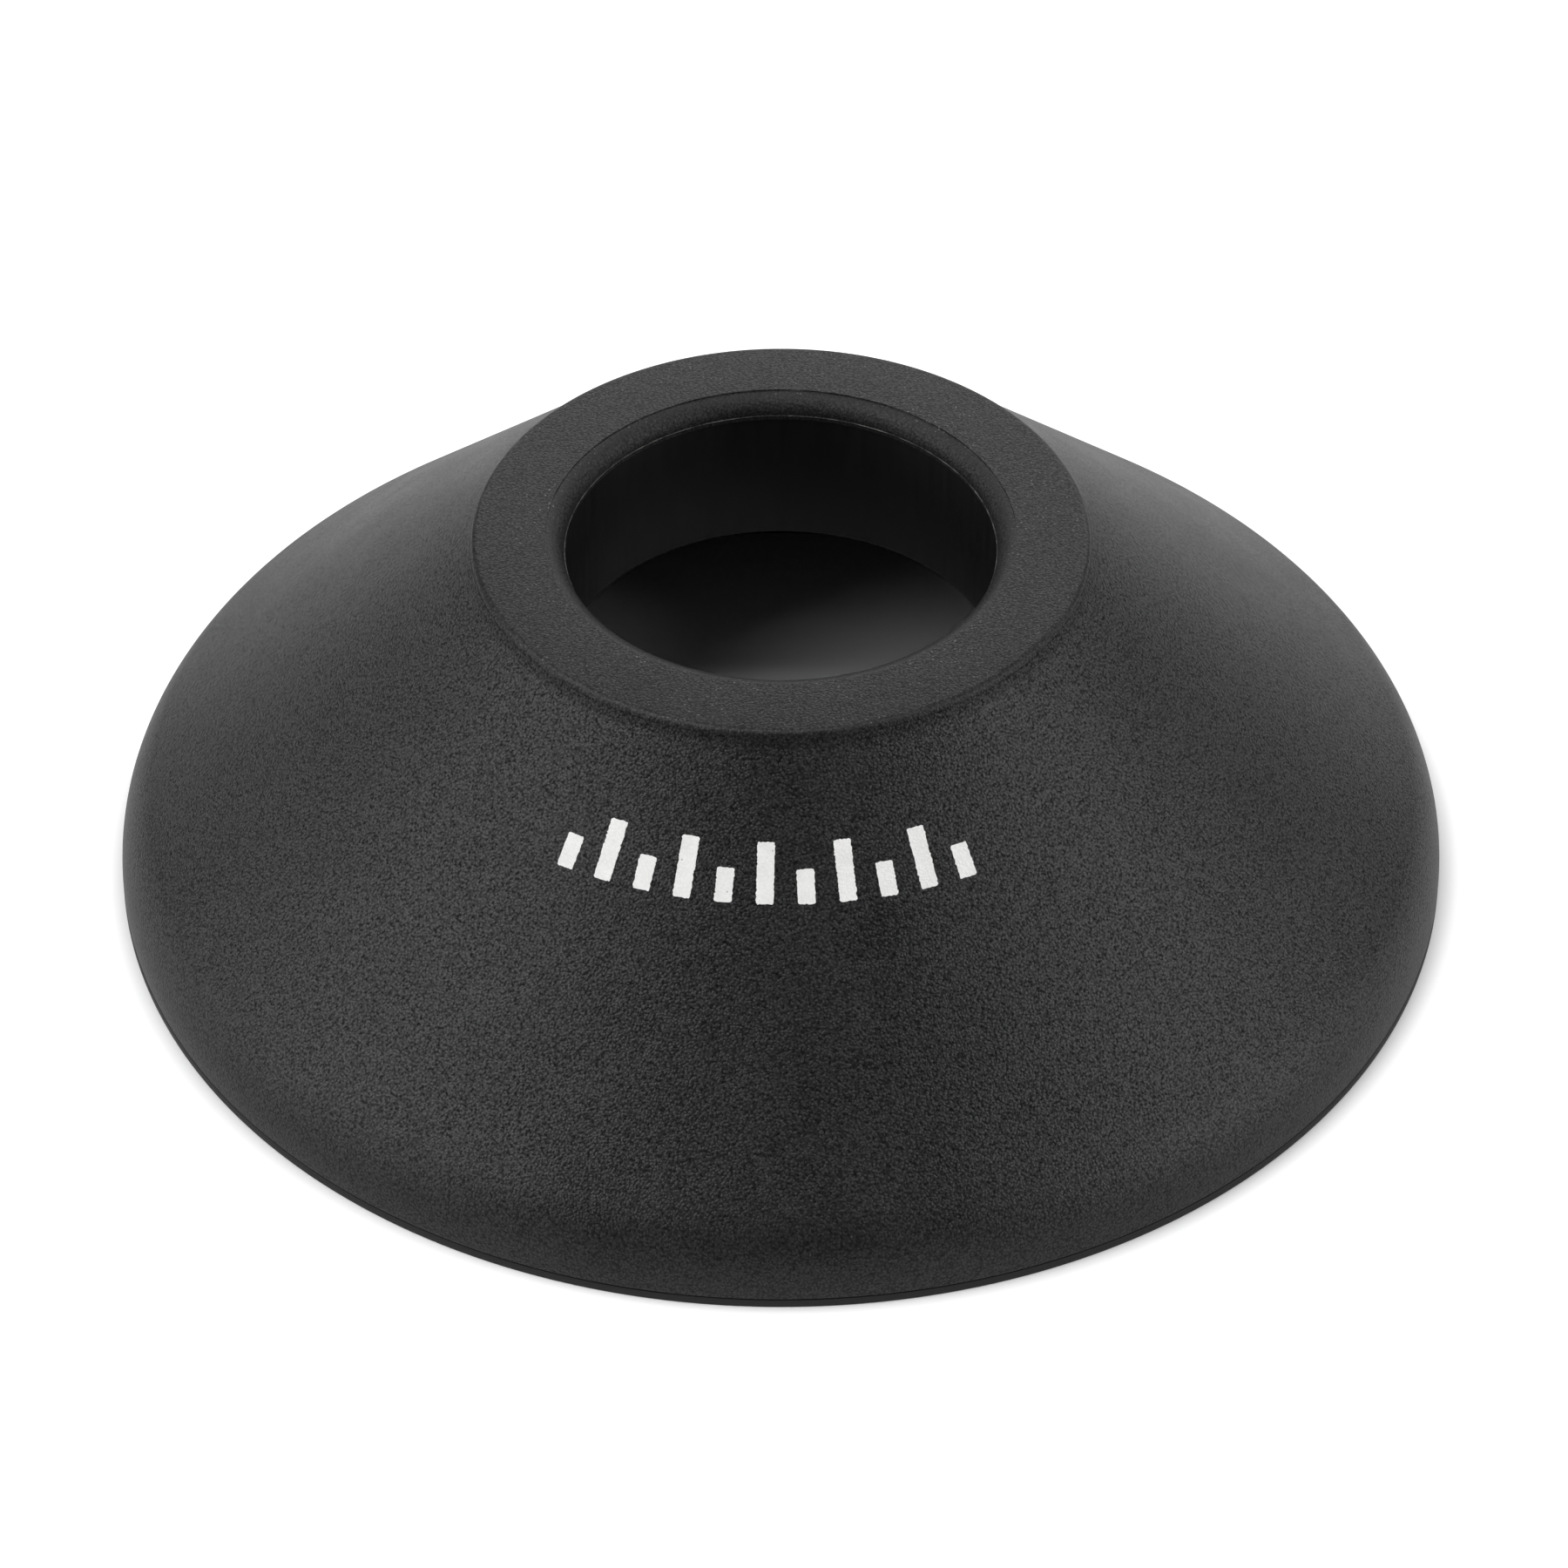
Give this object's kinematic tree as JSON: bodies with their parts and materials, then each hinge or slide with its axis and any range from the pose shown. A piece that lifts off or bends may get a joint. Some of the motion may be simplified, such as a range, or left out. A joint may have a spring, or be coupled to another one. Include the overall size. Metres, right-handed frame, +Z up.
{
  "type": "snoot",
  "caption": "Squat conical snoot in grained black silicone, with a lined round throat at its narrow end and a magnetic mounting ring in its wide end.",
  "frame": {"origin": "centre of the foot circle, on the plane that the snoot stands on", "axes": "+Z up the cone's axis to its narrow end, -Y the front"},
  "size_m": [0.084, 0.084, 0.0252],
  "materials": {
    "grained_silicone": "matte black silicone rubber with a fine spark-eroded grain",
    "smooth_liner": "smooth deep black moulded liner",
    "moulded_nylon": "black moulded nylon with a fine even grain",
    "nickel_plate": "bright nickel plate",
    "keeper_steel": "stamped cold-rolled steel strip"
  },
  "bodies": {
    "root": {"outer_cone": "grained_silicone", "throat_sleeve": "smooth_liner", "mount_ring": "moulded_nylon", "steel_keeper": "keeper_steel", "ring_cover": "moulded_nylon", "magnet_01": "nickel_plate", "magnet_02": "nickel_plate", "magnet_03": "nickel_plate", "magnet_04": "nickel_plate", "magnet_05": "nickel_plate", "magnet_06": "nickel_plate", "magnet_07": "nickel_plate", "magnet_08": "nickel_plate", "magnet_09": "nickel_plate", "magnet_10": "nickel_plate", "magnet_11": "nickel_plate", "magnet_12": "nickel_plate"}
  },
  "joints": []
}
